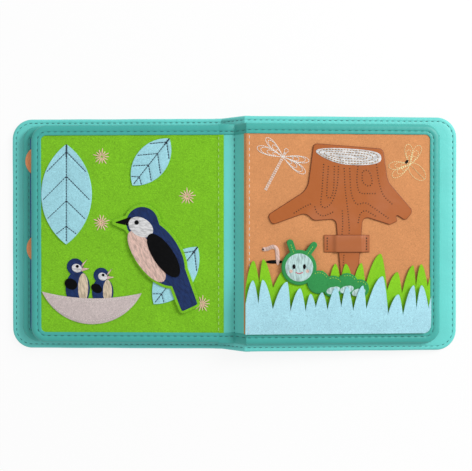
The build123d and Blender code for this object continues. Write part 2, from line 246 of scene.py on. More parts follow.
cover_reach, cover_height, cover_corner, cover_thickness = 190.0, 208.0, 18.0, 5.0
cover_start, cover_seam, rim_depth = 5.0, 3.9, 16.0
cover_stitch = dict(pitch=5.1, length=2.7, width=0.46)
cover_stitch_levels = (-0.25, -4.6)
rim_inward = np.array([rim_depth, 9.0, 5.6, 4.5, 3.9, 3.3, 2.2, 1.1, 0.45, 0.1, 0.0])
rim_level = np.array([0.0, 0.0, -0.05, -0.25, -0.5, -0.22, -0.22, -0.6, -1.2, -1.9, -2.5])
rim_inward = np.concatenate([rim_inward, rim_inward[-2::-1]])
rim_level = np.concatenate([rim_level, -cover_thickness - rim_level[-2::-1]])
cover_leather = leather("cover_leather", 103, 210, 203)
teal_thread = thread("teal_thread", 20, 84, 84)
for name, half, side, body, nodes in (
    ("front_cover_panel", front_half, -1, "front_half", ("front_cover", "front_lining")),
    ("back_cover_panel", back_half, 1, "back_half", ("back_cover", "back_lining")),
):
    rim = rim_line(cover_start, cover_reach, cover_height, cover_corner, 1.1)
    edge = carry_round(half, side, rim, cover_corner, rim_inward, rim_level, cover_seam, cover_stitch["pitch"])
    inner_x = np.array([cover_start, cover_reach - rim_depth])
    inner_y = (cover_height / 2 - rim_depth) * np.array([1, 1, -1, -1])
    core = place(half, side * inner_x[:, None], inner_y, cover_thickness * np.array([0, -1, -1, 0]))
    panel = sew(name, [edge, core], [cover_leather], body, nodes)
    x, y, nx, ny = rim_line(1.5, cover_reach, cover_height, cover_corner)
    x, y = side * (x + (cover_corner - cover_seam) * nx), y + (cover_corner - cover_seam) * ny
    rows = [stitches(half, x, y, level, **cover_stitch) for level in cover_stitch_levels]
    sew(name + "_stitches", rows, [teal_thread], body)

# Spine: one padded strip between the covers, in two halves that meet under the gutter seam. The leather
# runs on from each cover round the fold: the section of the covers' rim is carried along the panels, turns
# about the front fold line, and is mitred at the back fold, where the outside is pressed together.
spine_width = np.hypot(back_fold[0] - front_fold[0], back_fold[2] - front_fold[2])
seam = 16.2
section_y = np.concatenate([cover_height / 2 - rim_inward, -cover_height / 2 + rim_inward[::-1]])
section_n = np.concatenate([rim_level, rim_level[::-1]])

front_bend = 0.3
step = np.concatenate([np.linspace(-cover_start, -0.4, 5), np.linspace(-front_bend, front_bend, 11),
                       np.linspace(0.5, seam, 10)])
lean = spine_lean * np.clip((step + front_bend) / (2 * front_bend), 0, 1)
fold_x = step[:, None] * np.cos(lean)[:, None] - section_n * np.sin(lean)[:, None]
fold_z = step[:, None] * np.sin(lean)[:, None] + section_n * np.cos(lean)[:, None]
front_spine = sew("spine_front_fold", [place(front_half, fold_x, section_y, fold_z)], [cover_leather], None,
                  ("spine_panel", "spine_lining"))
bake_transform(front_spine)

step = np.concatenate([np.linspace(seam - spine_width, -6.5, 5), np.linspace(-5.5, -0.7, 6),
                       np.linspace(-0.5, 0.5, 21), np.linspace(0.7, cover_start, 6)])
panel_lean = np.where(step < 0, spine_lean, back_lean)
middle_lean = (spine_lean + back_lean) / 2
mitre_reach, mitre_fade = 6.0, 5.4
mitre = np.clip((mitre_reach - np.abs(step)) / mitre_fade, 0, 1)
mitre = (middle_lean - panel_lean) * mitre * mitre * (3 - 2 * mitre)
off = (panel_lean + mitre)[:, None]
reach = section_n / np.cos(mitre)[:, None]
fold_x = (step * np.cos(panel_lean))[:, None] - reach * np.sin(off)
fold_z = (step * np.sin(panel_lean))[:, None] + reach * np.cos(off)
back_spine = sew("spine_back_fold", [place((back_fold, 0.0), fold_x, section_y, fold_z)], [cover_leather], None)
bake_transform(back_spine)
way = np.array([1.5, spine_width - 1.5])
edge = cover_height / 2 - cover_seam
rows = [stitches(spine_half, way, end * edge + 0 * way, level, **cover_stitch)
        for end in (1, -1) for level in cover_stitch_levels]
sew("spine_stitches", rows, [teal_thread], "spine")


# Leaves: each has a felt page on both sides of a sheet of wadding, held in a folded tape of imitation
# leather that is sewn round three sides. The tape is rolled over the edge and topstitched 6.4 mm in.
leaf_height, leaf_corner, leaf_thickness = 194.0, 14.0, 6.0
tape_width, tape_seam, felt_tuck = 9.5, 6.4, 2.9
tape_stitch = dict(pitch=5.9, length=3.2, width=0.55)
tape_inward = np.array([tape_width, tape_width, 9.2, 8.5, 7.5, 6.9, 6.4, 5.9, 4.8, 3.3, 1.9, 0.85, 0.25, 0.0])
tape_level = np.array([5.0, 5.75, 5.98, 6.05, 6.08, 5.95, 5.68, 5.95, 6.1, 6.0, 5.62, 4.9, 4.0, 3.0])
tape_inward = np.concatenate([tape_inward, tape_inward[-2::-1]])
tape_level = np.concatenate([tape_level, leaf_thickness - tape_level[-2::-1]])


def felt(name, red, green, blue, fibre=1.0):
    """Craft felt: matted fibres as a stretched, twisted noise 1 mm long over a finer fuzz, in lighter and
    darker strands of the dye, with clouds of about 25 mm and a soft nap that catches light at the edges."""
    finish, tree, shader, where = start_finish(name, 0.95, 0.12, 0.08)
    shader.inputs["Sheen Roughness"].default_value = 0.6
    matted = wire(tree, "TexNoise", {"Vector": where, "Scale": 430.0, "Detail": 7.0, "Roughness": 0.72,
                                     "Distortion": 2.4})
    fuzz = wire(tree, "TexNoise", {"Vector": where, "Scale": 2600.0, "Detail": 3.0})
    cloud = wire(tree, "TexNoise", {"Vector": where, "Scale": 38.0, "Detail": 3.0})
    spread = 0.22 * fibre
    dark, even, light = [colour(red, green, blue, gain) for gain in (1 - spread, 1.0, 1 + spread)]
    strands = ramp(tree, matted.outputs["Fac"], [(0.3, dark), (0.5, even), (0.7, light)])
    shade = ramp(tree, cloud.outputs["Fac"], [(0.3, (0.92, 0.92, 0.92, 1)), (0.7, (1, 1, 1, 1))])
    tinted = wire(tree, "Mix", {0: 1.0, 6: strands, 7: shade}, data_type="RGBA", blend_type="MULTIPLY")
    tree.links.new(tinted.outputs[2], shader.inputs["Base Color"])
    nap = wire(tree, "Bump", {"Height": matted.outputs["Fac"], "Strength": 0.5, "Distance": 0.0006})
    fine = wire(tree, "Bump", {"Height": fuzz.outputs["Fac"], "Strength": 0.35, "Distance": 0.0003,
                               "Normal": nap.outputs["Normal"]})
    tree.links.new(fine.outputs["Normal"], shader.inputs["Normal"])
    return finish


def bound_leaf(name, half, side, body, start, reach, lift, narrow, page, back):
    """One leaf: the tape's rolled profile carried round three sides, its flanges narrower by narrow, its
    stitches, and the two felts with the wadding between them, whose faces rise and fall by 0.1 mm in waves
    of some 40 mm."""
    rim = rim_line(start, reach, leaf_height, leaf_corner, 1.2)
    inward = tape_inward - np.clip(tape_inward - tape_seam, 0, None) * narrow / (tape_width - tape_seam)
    roll = carry_round(half, side, rim, leaf_corner, inward, lift + tape_level, tape_seam, tape_stitch["pitch"])
    binding = sew(name + "_tape", [roll], [tape_leather], body, [name + "_binding"])
    x, y, nx, ny = rim
    x, y = side * (x + (leaf_corner - tape_seam) * nx), y + (leaf_corner - tape_seam) * ny
    rows = [stitches(half, x, y, lift + level, **tape_stitch) for level in (5.85, 0.15)]
    sew(name + "_tape_stitches", rows, [teal_thread], body)
    x = np.linspace(start, reach - tape_width + felt_tuck, 90)[:, None]
    edge = leaf_height / 2 - tape_width + felt_tuck
    y = np.linspace(edge, -edge, 96)
    wave = 0.1 * np.sin(x / 6.3 + 0.7) * np.sin(y / 7.1 + 1.9) + 0.06 * np.sin(x / 3.9 + y / 5.2)
    loop_y = np.concatenate([y, y[::-1]])
    upper = place(half, side * x, loop_y, np.concatenate([lift + 5.2 + wave, lift + 3.05 + 0 * wave], 1))
    lower = place(half, side * x, loop_y, np.concatenate([lift + 0.8 + wave, lift + 2.95 + 0 * wave], 1))
    nodes = [name + "_felt", name + "_reverse", name + "_pad"]
    pages = sew(name + "_pages", [upper, lower], [page, back], body, nodes)
    return pages


tape_leather = leather("tape_leather", 64, 169, 160, 0.46)
blue_felt = felt("blue_felt", 105, 150, 205)
sky_felt = felt("sky_felt", 162, 218, 230, 1.2)
bound_leaf("lower_leaf", front_half, -1, "front_half", start=11.1, reach=179.1, lift=0.0, narrow=1.9,
           page=blue_felt, back=blue_felt)


def pillow(half, centre, angle, reach, bottom, thick, crown, soft=0.5):
    """A cut shape, lightly crowned: rings shrink from its outline towards a centre. The outline lies at
    distance reach in direction angle; the edge is rounded by soft, and the top rises by crown times (1 -
    share squared)."""
    share = np.array([0, 0.25, 0.5, 0.7, 0.84, 0.93, 1, 1, 1, 1, 1, 1, 0])
    inset = soft * np.array([0, 0, 0, 0, 0, 0, 1.0, 0.55, 0.2, 0, 0, 0.2, 0])
    height = thick - soft * np.array([0, 0, 0, 0, 0, 0, 0, 0.12, 0.4, 0.9, 0, 0, 0])
    height[-3:] = [0.15 * thick, 0, 0]
    height = bottom + height + crown * np.where(np.arange(13) < 10, 1 - share**2, 0)
    ring = share[:, None] * np.maximum(reach - inset[:, None], 0.05)
    return place(half, centre[0] + ring * np.cos(angle), centre[1] + ring * np.sin(angle), height[:, None])


circle = np.linspace(0, 2 * np.pi, 72, endpoint=False)
# The discs' felt is given a lighter colour than its own, so that they stay light in the green leaf's shadow: painted
# light.
orange_felt = felt("orange_felt", 236, 156, 108)
disc_radius = 14.0
discs = [pillow(front_half, spot, circle, disc_radius + 0 * circle, 5.4, 1.45, 0.1)
         for spot in ((-161.6, 65.2), (-160.6, -13.2))]
discs = sew("lower_leaf_discs_cut", discs, [orange_felt], "front_half", ["lower_leaf_discs"])

# Green leaf: the open leaf on the left, of apple-green felt with a light-blue reverse over wadding. It lies
# on the lower leaf, bound with the same tape, and carries the figures of the page.
green_felt = felt("green_felt", 125, 193, 34, 1.7)
bound_leaf("green_leaf", front_half, -1, "front_half", start=1.2, reach=169.2, lift=7.0, narrow=0.0,
           page=green_felt, back=sky_felt)
green_top = 12.2
page_height, page_foot = 176.8, -88.4
green_width, green_outer = 159.4, -160.6


def green_spot(u, v):
    """A place on the green page from shares of its felt, across from the outer edge and up from the
    foot."""
    return green_outer + green_width * np.asarray(u), page_foot + page_height * np.asarray(v)


# Felt leaves: three light-blue felt leaves, held by their sewn veins, which pull the felt down a little.
# Each is two arcs about a midrib; the dark veins leave it in pairs and the stem end is satin-stitched.
vein_pairs = np.array([(0.076, 0.275), (0.32, 0.555), (0.564, 0.745), (0.82, 0.897)])
ink_thread = thread("ink_thread", 12, 30, 56)


def sewn_leaf(name, foot, tip, half_width):
    """Leaf between two arcs: at share a from the tip the half width is that of a circle's segment. The felt
    dips by a bell curve of its distance from the nearest vein."""
    foot, tip = np.array(green_spot(*foot)), np.array(green_spot(*tip))
    length = np.hypot(*(foot - tip))
    along = (foot - tip) / length
    across = np.array([-along[1], along[0]])
    radius = (length**2 / 4 + half_width**2) / (2 * half_width)

    def width_at(share):
        return np.sqrt(radius**2 - ((share - 0.5) * length) ** 2) - radius + half_width

    def spot(share, offset):
        way = share * length
        return tip[0] + along[0] * way + across[0] * offset, tip[1] + along[1] * way + across[1] * offset

    share = (1 - np.cos(np.linspace(0, np.pi, 70))) / 2
    row = np.concatenate([[-1, -1, -0.985], np.linspace(-0.95, 0.95, 41), [0.985, 1, 1]])
    wide = np.maximum(width_at(share), 0.05)[:, None]
    offset = row * wide
    ends = width_at(vein_pairs[:, 1]) * 0.93
    start = vein_pairs[:, 0] * length
    run = np.stack([vein_pairs[:, 1] * length - start, ends], -1)
    s, t = (share * length)[:, None, None] - start, np.abs(offset)[..., None]
    k = np.clip((s * run[:, 0] + t * run[:, 1]) / (run**2).sum(1), 0, 1)
    far = np.hypot(s - k * run[:, 0], t - k * run[:, 1]).min(-1)
    far = np.minimum(far, np.abs(offset))
    height = np.ones_like(offset) + 0.1 - 0.45 * np.exp(-(far / 0.9) ** 2)
    height[:, [0, -1]] = 0
    height[:, [1, -2]] = 0.75
    x, y = spot(share[:, None], offset)
    cut = place(front_half, x, y, green_top + height)
    leaf = sew(name + "_cut", [cut], [sky_felt], "front_half", [name])
    lines = [(np.array([0.02, 0.97]), np.array([0.0, 0.0]))]
    for way in (-1, 1):
        lines += [(pair, np.array([0.0, way * end])) for pair, end in zip(vein_pairs, ends)]
    rows = []
    for pair, sideways in lines:
        x, y = spot(np.linspace(*pair, 30), np.linspace(*sideways, 30))
        rows.append(stitches(front_half, x, y, green_top + 0.95, pitch=2.4, length=2.4, width=0.75))
    x, y = spot(np.linspace(0.0, 0.13, 12), np.zeros(12))
    rows.append(stitches(front_half, x, y, green_top + 1.1, pitch=1.2, length=1.6, width=1.3))
    sew(name + "_veins", rows, [ink_thread], "front_half")


sewn_leaf("large_leaf", (0.1485, 0.447), (0.1505, 0.950), 0.142 * green_width)
sewn_leaf("upper_leaf", (0.520, 0.743), (0.726, 0.977), 0.089 * green_width)
sewn_leaf("side_leaf", (0.638, 0.148), (0.883, 0.435), 0.100 * green_width)

# Starbursts: four stars of pinkish beige thread, sewn straight into the green felt. Each is thirteen long
# uneven stitches that meet in the middle.
beige_thread = thread("beige_thread", 230, 194, 168)
spokes = []
for number, (u, v) in enumerate(((0.346, 0.887), (0.824, 0.687), (0.345, 0.556), (0.905, 0.150))):
    x, y = green_spot(u, v)
    for angle in np.radians(np.arange(13) * 360 / 13 + 9 * number):
        r = np.array([0.5 + 0.5 * math.sin(7 * angle), 7.2 + 1.1 * math.sin(5 * angle)])
        spoke = (x + r * math.cos(angle), y + r * math.sin(angle), green_top + 0.25)
        spokes.append(stitches(front_half, *spoke, pitch=9, length=8, width=1.05))
sew("starburst_threads", spokes, [beige_thread], "front_half")


# Nest pocket: a crescent of pinkish-grey felt, sewn along its lower edge, with its rim standing a little
# off the page so that the small birds sit in it. Pale stitches follow both edges.
nest_felt = felt("nest_felt", 204, 190, 188, 1.5)
pale_thread = thread("pale_thread", 224, 216, 210)


def arc_between(left, middle, right, share):
    """A circle's arc through three points, at shares of its angle from the left point to the right one."""
    (ax, ay), (bx, by), (cx, cy) = left, middle, right
    twice = 2 * (ax * (by - cy) + bx * (cy - ay) + cx * (ay - by))
    a, b, c = ax**2 + ay**2, bx**2 + by**2, cx**2 + cy**2
    x = (a * (by - cy) + b * (cy - ay) + c * (ay - by)) / twice
    y = (a * (cx - bx) + b * (ax - cx) + c * (bx - ax)) / twice
    first, last = math.atan2(ay - y, ax - x), math.atan2(cy - y, cx - x)
    if by > y and first < last:
        first += 2 * math.pi
    if by < y and first > last:
        last += 2 * math.pi
    angle = first + (last - first) * share
    radius = math.hypot(ax - x, ay - y)
    return x + radius * np.cos(angle), y + radius * np.sin(angle)


def crescent(half, upper, lower, row, height):
    """A shape between two arcs: row runs from the lower arc to the upper one, and height gives its two
    faces."""
    ux, uy = [line[:, None] for line in upper]
    lx, ly = [line[:, None] for line in lower]
    return place(half, lx + (ux - lx) * row, ly + (uy - ly) * row, height)


share = (1 - np.cos(np.linspace(0, np.pi, 64))) / 2
nest_tips = (green_spot(0.011, 0.209), green_spot(0.570, 0.203))
nest_rim = arc_between(nest_tips[0], green_spot(0.292, 0.176), nest_tips[1], share)
nest_foot = arc_between(nest_tips[0], green_spot(0.292, 0.046), nest_tips[1], share)
row = np.array([0, 0, 0.03, 0.15, 0.35, 0.55, 0.75, 0.9, 0.98, 1, 1, 0.5])
swell = 4 * share * (1 - share)
bulge = swell[:, None] * np.sin(np.clip(row, 0, 1) * np.pi * 0.62)
height = green_top + np.array([0, 0.7, 1.0, 1.1, 1.1, 1.1, 1.1, 1.1, 1.0, 0.8, 0.0, 0.0]) + 0.7 * bulge
pocket = crescent(front_half, nest_rim, nest_foot, row, height)
nest = sew("nest_pocket_cut", [pocket], [nest_felt], "front_half", ["nest_pocket"])
rows = []
for low, span in ((0.14, (0.06, 0.94)), (0.88, (0.1, 0.9))):
    pick = (share > span[0]) & (share < span[1])
    x = (nest_foot[0] + (nest_rim[0] - nest_foot[0]) * low)[pick]
    y = (nest_foot[1] + (nest_rim[1] - nest_foot[1]) * low)[pick]
    z = green_top + 1.15 + 0.7 * (4 * share * (1 - share))[pick] * math.sin(low * math.pi * 0.62)
    rows.append(stitches(front_half, x, y, z, pitch=2.3, length=1.3, width=0.5))
sew("nest_stitches", rows, [pale_thread], "front_half")


# Small birds in the nest: satin-stitched patches, each a round head on an oval body, with a pale face, a
# dark wing, a beak and an eye. Threads lie side by side in one direction on each field.
def satin(name, red, green, blue, angle=0.0, light=1.12, gloss=0.22):
    """Satin stitch: threads 0.5 mm apart laid side by side at an angle across the page, uneven in height,
    each lighter along its crown, up to light times the colour, and darker in the gaps between threads:
    painted sheen and painted shade. Lighter and darker flecks 1.4 mm wide and four times as long follow
    the threads, and the finish has a silky gloss."""
    finish, tree, shader, where = start_finish(name, 0.5, gloss, gloss / 6)
    aim = (0, 0, math.radians(angle))
    turned, drawn = [wire(tree, "Mapping", {"Vector": where, "Rotation": aim, "Scale": (1, long, 1)},
                          vector_type="TEXTURE") for long in (1, 4)]
    lay = wire(tree, "TexWave", {"Vector": turned.outputs["Vector"], "Scale": 560.0, "Distortion": 2.5, "Detail": 2.0,
                                 "Detail Scale": 0.6})
    fleck = wire(tree, "TexNoise", {"Vector": drawn.outputs["Vector"], "Scale": 700.0, "Detail": 4.0})
    dark, bright = [colour(red, green, blue, gain) for gain in (0.7, light)]
    # The strands ramp paints each thread lighter on its crown and darker between threads: painted sheen and painted
    # shade.
    strands = ramp(tree, lay.outputs["Color"], [(0.1, dark), (0.8, bright)])
    shade = ramp(tree, fleck.outputs["Fac"], [(0.35, (0.6, 0.6, 0.6, 1)), (0.6, (1, 1, 1, 1))])
    tinted = wire(tree, "Mix", {0: 1.0, 6: strands, 7: shade}, data_type="RGBA", blend_type="MULTIPLY")
    tree.links.new(tinted.outputs[2], shader.inputs["Base Color"])
    bump = wire(tree, "Bump", {"Height": lay.outputs["Color"], "Strength": 0.6, "Distance": 0.0003})
    tree.links.new(bump.outputs["Normal"], shader.inputs["Normal"])
    return finish


def ray_oval(angle, origin, centre, long, wide, lean=0.0):
    """How far rays from an origin run until they leave an oval, from the root of a quadratic; 0 where they
    miss."""
    cos, sin = math.cos(lean), math.sin(lean)
    dx, dy = origin[0] - centre[0], origin[1] - centre[1]
    ox, oy = (dx * cos + dy * sin) / long, (dy * cos - dx * sin) / wide
    tx, ty = np.cos(angle - lean) / long, np.sin(angle - lean) / wide
    a, b, c = tx**2 + ty**2, tx * ox + ty * oy, ox**2 + oy**2 - 1
    inside = b**2 - a * c
    return np.where(inside > 0, np.maximum((-b + np.sqrt(np.maximum(inside, 0))) / a, 0), 0)


def oval(long, wide, lean=0.0):
    """How far an oval reaches from its own middle, all round."""
    return ray_oval(circle, (0, 0), (0, 0), long, wide, lean)


def ray_corners(angle, origin, corners):
    """How far rays from an origin run until they leave a convex shape: the nearest side that they cross
    outwards, if that lies beyond the farthest one that they cross inwards; 0 where they miss."""
    corners = np.array(corners)
    side = np.roll(corners, -1, 0) - corners
    normal = np.stack([side[:, 1], -side[:, 0]], -1)
    normal = normal / np.hypot(*normal.T)[:, None]
    if ((corners.mean(0) - corners) * normal).sum() > 0:
        normal = -normal
    gap = ((corners - np.array(origin)) * normal).sum(1)
    speed = np.stack([np.cos(angle), np.sin(angle)], -1) @ normal.T
    cross = gap / np.where(np.abs(speed) < 1e-9, 1e-9, speed)
    leave = np.where(speed > 0, cross, np.inf).min(1)
    enter = np.where(speed < 0, cross, -np.inf).max(1)
    return np.where((leave > enter) & (leave > 0), leave, 0)


def ray_margin(angle, origin, corners, grow):
    """How far rays run until they leave a convex shape with an even margin and round corners: the farthest
    of the ways out of the shape, of a band along each of its sides and of a circle at each corner."""
    corners = np.array(corners)
    ahead = np.roll(corners, -1, 0)
    off = (ahead - corners)[:, ::-1] * [1, -1]
    off = grow * off / np.hypot(*off.T)[:, None]
    bands = [np.array([a - o, b - o, b + o, a + o]) for a, b, o in zip(corners, ahead, off)]
    ways = [ray_corners(angle, origin, shape) for shape in (corners, *bands)]
    ways += [ray_oval(angle, origin, corner, grow, grow) for corner in corners]
    return np.max(ways, 0)


navy_satin = satin("navy_satin", 20, 44, 92, 35, 1.7, 0.12)
black_satin = satin("black_satin", 10, 10, 13, 60, 1.12, 0.06)
white_satin = satin("white_satin", 240, 240, 242, 80, 1.4)
cream_satin = satin("cream_satin", 230, 210, 182, 10, 1.25)
pink_satin = satin("pink_satin", 246, 200, 186, 25, 1.25)
bodies, faces, bellies, darks, beaks = [], [], [], [], []
for head, head_size, body, body_size in (
    ((0.197, 0.335), 0.046, (0.212, 0.225), (0.068, 0.090)),
    ((0.343, 0.292), 0.042, (0.352, 0.208), (0.060, 0.072)),
):
    head, body = green_spot(*head), green_spot(*body)
    size = head_size * green_width
    long, wide = body_size[0] * green_width, body_size[1] * page_height
    fan = np.linspace(0, 2 * np.pi, 120, endpoint=False)
    origin = (body[0], body[1] + 0.45 * wide)
    outline = np.maximum(ray_oval(fan, origin, body, long, wide), ray_oval(fan, origin, head, size, size))
    bodies.append(pillow(front_half, origin, fan, outline, green_top, 0.75, 0.2))
    face = (head[0] + 0.22 * size, head[1] - 0.18 * size)
    outline = oval(0.62 * size, 0.5 * size, -0.4)
    faces.append(pillow(front_half, face, circle, outline, green_top + 0.65, 0.45, 0.15, 0.25))
    belly = (body[0] + 0.45 * long, body[1] + 0.05 * wide)
    outline = oval(0.42 * long, 0.8 * wide)
    bellies.append(pillow(front_half, belly, circle, outline, green_top + 0.5, 0.5, 0.1, 0.25))
    wing = (body[0] - 0.55 * long, body[1] + 0.25 * wide)
    outline = oval(0.55 * long, 0.3 * wide, -0.5)
    darks.append(pillow(front_half, wing, circle, outline, green_top + 0.55, 0.55, 0.2, 0.25))
    eye = (face[0] + 0.08 * size, face[1] + 0.22 * size)
    darks.append(pillow(front_half, eye, circle, 0.19 * size + 0 * circle, green_top + 1.0, 0.3, 0.1, 0.12))
    for lift, way in ((0.3, 0.75), (-0.1, -0.15)):
        root = (head[0] + 0.85 * size, head[1] + lift * size)
        tip = (root[0] + 0.95 * size * math.cos(way), root[1] + 0.95 * size * math.sin(way))
        corners = (root, tip, (root[0] - 0.1 * size, root[1] - 0.5 * size))
        middle = np.mean(corners, 0)
        outline = ray_corners(circle, middle, corners)
        beaks.append(pillow(front_half, middle, circle, outline, green_top + 0.3, 0.55, 0.15, 0.25))
sew("chick_bodies_satin", bodies, [navy_satin], "front_half", ["chick_bodies"])
sew("chick_faces_satin", faces, [white_satin], "front_half", ["chick_faces"])
sew("chick_bellies", bellies, [cream_satin], "front_half")
sew("chick_wings_and_eyes", darks, [black_satin], "front_half")
sew("chick_beaks", beaks, [pink_satin], "front_half")


# Loose bird: a felt-backed patch that lifts out of the page. Green felt shows as an even margin round the
# satin fields: navy back and tail, white cheek, pink breast, black wing, beak and eye.
bird_middle = np.array(green_spot(0.660, 0.407))
bird_height, bird_lean = 92.0, math.radians(124)


def bird_spot(across, upward):
    """A place on the bird from shares of its height, from the middle of its body."""
    return bird_middle + bird_height * np.array([across, upward])


def bird_outline(angle, origin, grow, with_beak):
    """The farthest of the rays' ways out of the bird's head, body, tail and beak, each grown by grow."""
    corners = (0.129, -0.235), (0.245, -0.160), (0.362, -0.487), (0.246, -0.541)
    tail = [bird_spot(*corner) for corner in corners]
    shapes = [
        ray_oval(angle, origin, bird_middle, 0.363 * bird_height + grow, 0.201 * bird_height + grow, bird_lean),
        ray_oval(angle, origin, bird_spot(-0.147, 0.284), 0.152 * bird_height + grow, 0.152 * bird_height + grow),
        ray_margin(angle, origin, tail, grow + 1.7),
    ]
    if with_beak:
        shapes.append(ray_margin(angle, origin, bird_beak, grow))
    return np.max(shapes, 0)


bird_beak = [bird_spot(*corner) for corner in ((-0.255, 0.345), (-0.255, 0.250), (-0.415, 0.288))]
fan = np.linspace(0, 2 * np.pi, 480, endpoint=False)
origin = bird_spot(0.08, 0.05)
bird_level, bird_margin = green_top + 1.0, 2.6
backing = pillow(front_half, origin, fan, bird_outline(fan, origin, bird_margin, True), bird_level, 1.2, 0.15)
backing = sew("bird_felt", [backing], [green_felt], "front_half", ["bird_backing"])
back = pillow(front_half, origin, fan, bird_outline(fan, origin, 0.1, False), bird_level + 0.9, 0.55, 0.15, 0.3)
sew("bird_back_satin", [back], [navy_satin], "front_half", ["bird_back"])
middle = np.mean(bird_beak, 0)
outline = ray_corners(circle, middle, bird_beak)
beak = pillow(front_half, middle, circle, outline, bird_level + 0.9, 0.6, 0.15, 0.25)
outline = oval(0.245 * bird_height, 0.098 * bird_height, bird_lean)
wing = pillow(front_half, bird_spot(0.059, -0.029), circle, outline, bird_level + 1.5, 0.6, 0.2, 0.3)
eye = pillow(front_half, bird_spot(-0.200, 0.288), circle, 2.0 + 0 * circle, bird_level + 1.55, 0.5, 0.15, 0.2)
sew("bird_wing_satin", [wing, eye], [black_satin], "front_half", ["bird_wing"])
sew("bird_beak_satin", [beak], [black_satin], "front_half", ["bird_beak"])
outline = oval(0.128 * bird_height, 0.088 * bird_height, math.radians(150))
cheek = pillow(front_half, bird_spot(-0.160, 0.243), circle, outline, bird_level + 1.3, 0.4, 0.15, 0.25)
sew("bird_cheek_satin", [cheek], [white_satin], "front_half", ["bird_cheek"])
outline = oval(0.290 * bird_height, 0.108 * bird_height, bird_lean)
breast = pillow(front_half, bird_spot(-0.104, -0.039), circle, outline, bird_level + 1.2, 0.42, 0.12, 0.25)
sew("bird_breast_satin", [breast], [pink_satin], "front_half", ["bird_breast"])


# Brown leaf: the open leaf on the right, of tan felt with a light-blue reverse over wadding. It is bound
# with the same tape and lies on the back cover.
brown_felt = felt("brown_felt", 213, 146, 95)
bound_leaf("brown_leaf", back_half, 1, "back_half", start=1.2, reach=173.2, lift=0.0, narrow=0.0,
           page=brown_felt, back=sky_felt)
brown_top = 5.2
brown_width, brown_inner = 163.4, 1.2


def brown_spot(u, v):
    """A place on the brown page from shares of its felt, across from the gutter and up from the foot."""
    return brown_inner + brown_width * np.asarray(u), page_foot + page_height * np.asarray(v)


# Gutter: the leaves hang on two strips of lining leather, sewn to the spine along one dark seam. The left
# strip lies nearly level, the right one climbs to the brown leaf. Both are hemmed at head and foot as wide
# as the tape.
lining_leather = leather("gutter_leather", 99, 205, 196)
seam_x = front_fold[0] + seam * math.cos(spine_lean) - 0.5 * math.sin(spine_lean)
seam_z = front_fold[2] + seam * math.sin(spine_lean) + 0.5 * math.cos(spine_lean)


def strip(name, from_x, from_z, to_x, to_z, bow):
    """A strip between two lines along the page, 0.4 mm thick, with a bow of that height in the middle of
    its way. Its section is carried from one line to the other, and so is that of the hem tape round each of
    its ends, with two rows of stitches laid across."""
    k = np.linspace(0, 1, 40)[:, None]
    x = from_x + (to_x - from_x) * k
    z = from_z + (to_z - from_z) * k + bow * np.sin(np.pi * k)
    y = np.linspace(94, -94, 48)
    loop_y, loop_z = np.concatenate([y, y[::-1]]), np.repeat([0.2, -0.2], 48)
    sheet = np.stack(np.broadcast_arrays(x, loop_y, z + loop_z), -1) / 1000
    hem_y = np.array([87.5, 87.6, 87.9, 89, 90.1, 90.6, 91.1, 93, 95.6, 96.7, 97, 96.7, 95.8, 87.6])
    hem_z = np.array([0.1, 0.6, 0.8, 0.9, 0.85, 0.6, 0.85, 0.95, 0.8, 0.45, 0.0, -0.4, -0.6, -0.3])
    hems = [np.stack(np.broadcast_arrays(x, way * hem_y, z + hem_z), -1) / 1000 for way in (1, -1)]
    flat = ((0, 0, 0), 0.0)
    hem_seam = leaf_height / 2 - tape_seam
    run = [stitches(flat, x[:, 0], way * hem_seam + 0 * x[:, 0], z[:, 0] + 0.85, 5.2, 3.0, 0.55)
           for way in (1, -1)]
    cloth = sew(name, [sheet], [lining_leather], None)
    tapes = sew(name + "_hems", hems, [tape_leather], None)
    rows = sew(name + "_hem_stitches", run, [teal_thread], None)
    return cloth, tapes, rows


green_edge = front_fold[0] - 1.6
left_pieces = strip("gutter_strip_left", green_edge, front_fold[2] + 11.5, seam_x, seam_z, 0.9)
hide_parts("gutter_strip")
brown_edge = place(back_half, 1.5, 0, 4.2) * 1000
right_pieces = strip("gutter_strip_right", seam_x, seam_z, brown_edge[0], brown_edge[2], 0.0)
for piece in left_pieces:
    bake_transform(piece)
for piece in right_pieces:
    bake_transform(piece)
line = np.linspace(-96, 96, 60)
row = stitches(spine_half, seam + 0 * line, line, 1.05, pitch=5.0, length=2.9, width=0.55)
sew("gutter_seam_stitches", [row], [teal_thread], "spine")


# Page edges: each page's felt runs on over its strip for some 3 mm and is sewn down beside the fold, the
# green one with a pale green running stitch and the brown one with a white one.
def evened(line, times):
    """A line of points evened out: each time, every point but the ends becomes the mean of itself, counted
    twice, and its two neighbours."""
    line = np.array(line)
    for _ in range(times):
        line[1:-1] = (line[:-2] + 2 * line[1:-1] + line[2:]) / 4
    return line


def page_edge(name, path, finish):
    """A felt edge 0.5 mm thick carried along the page's height: its section follows points (x, z), evened
    out by averaging each point with its neighbours twelve times."""
    path = np.array(path)
    run = run_along(*path.T)
    way = np.linspace(0, run[-1], 30)
    line = evened(np.stack([np.interp(way, run, path[:, axis]) for axis in (0, 1)], -1), 12)
    ahead = np.gradient(line, axis=0)
    off = np.stack([-ahead[:, 1], ahead[:, 0]], -1) / np.hypot(*ahead.T)[:, None]
    y = np.linspace(87.6, -87.6, 60)
    loop_y, offset = np.concatenate([y, y[::-1]]), np.repeat([0.25, -0.25], 60)
    x, z = line[:, :1] + off[:, :1] * offset, line[:, 1:] + off[:, 1:] * offset
    return sew(name, [np.stack(np.broadcast_arrays(x, loop_y, z), -1) / 1000], [finish], None)


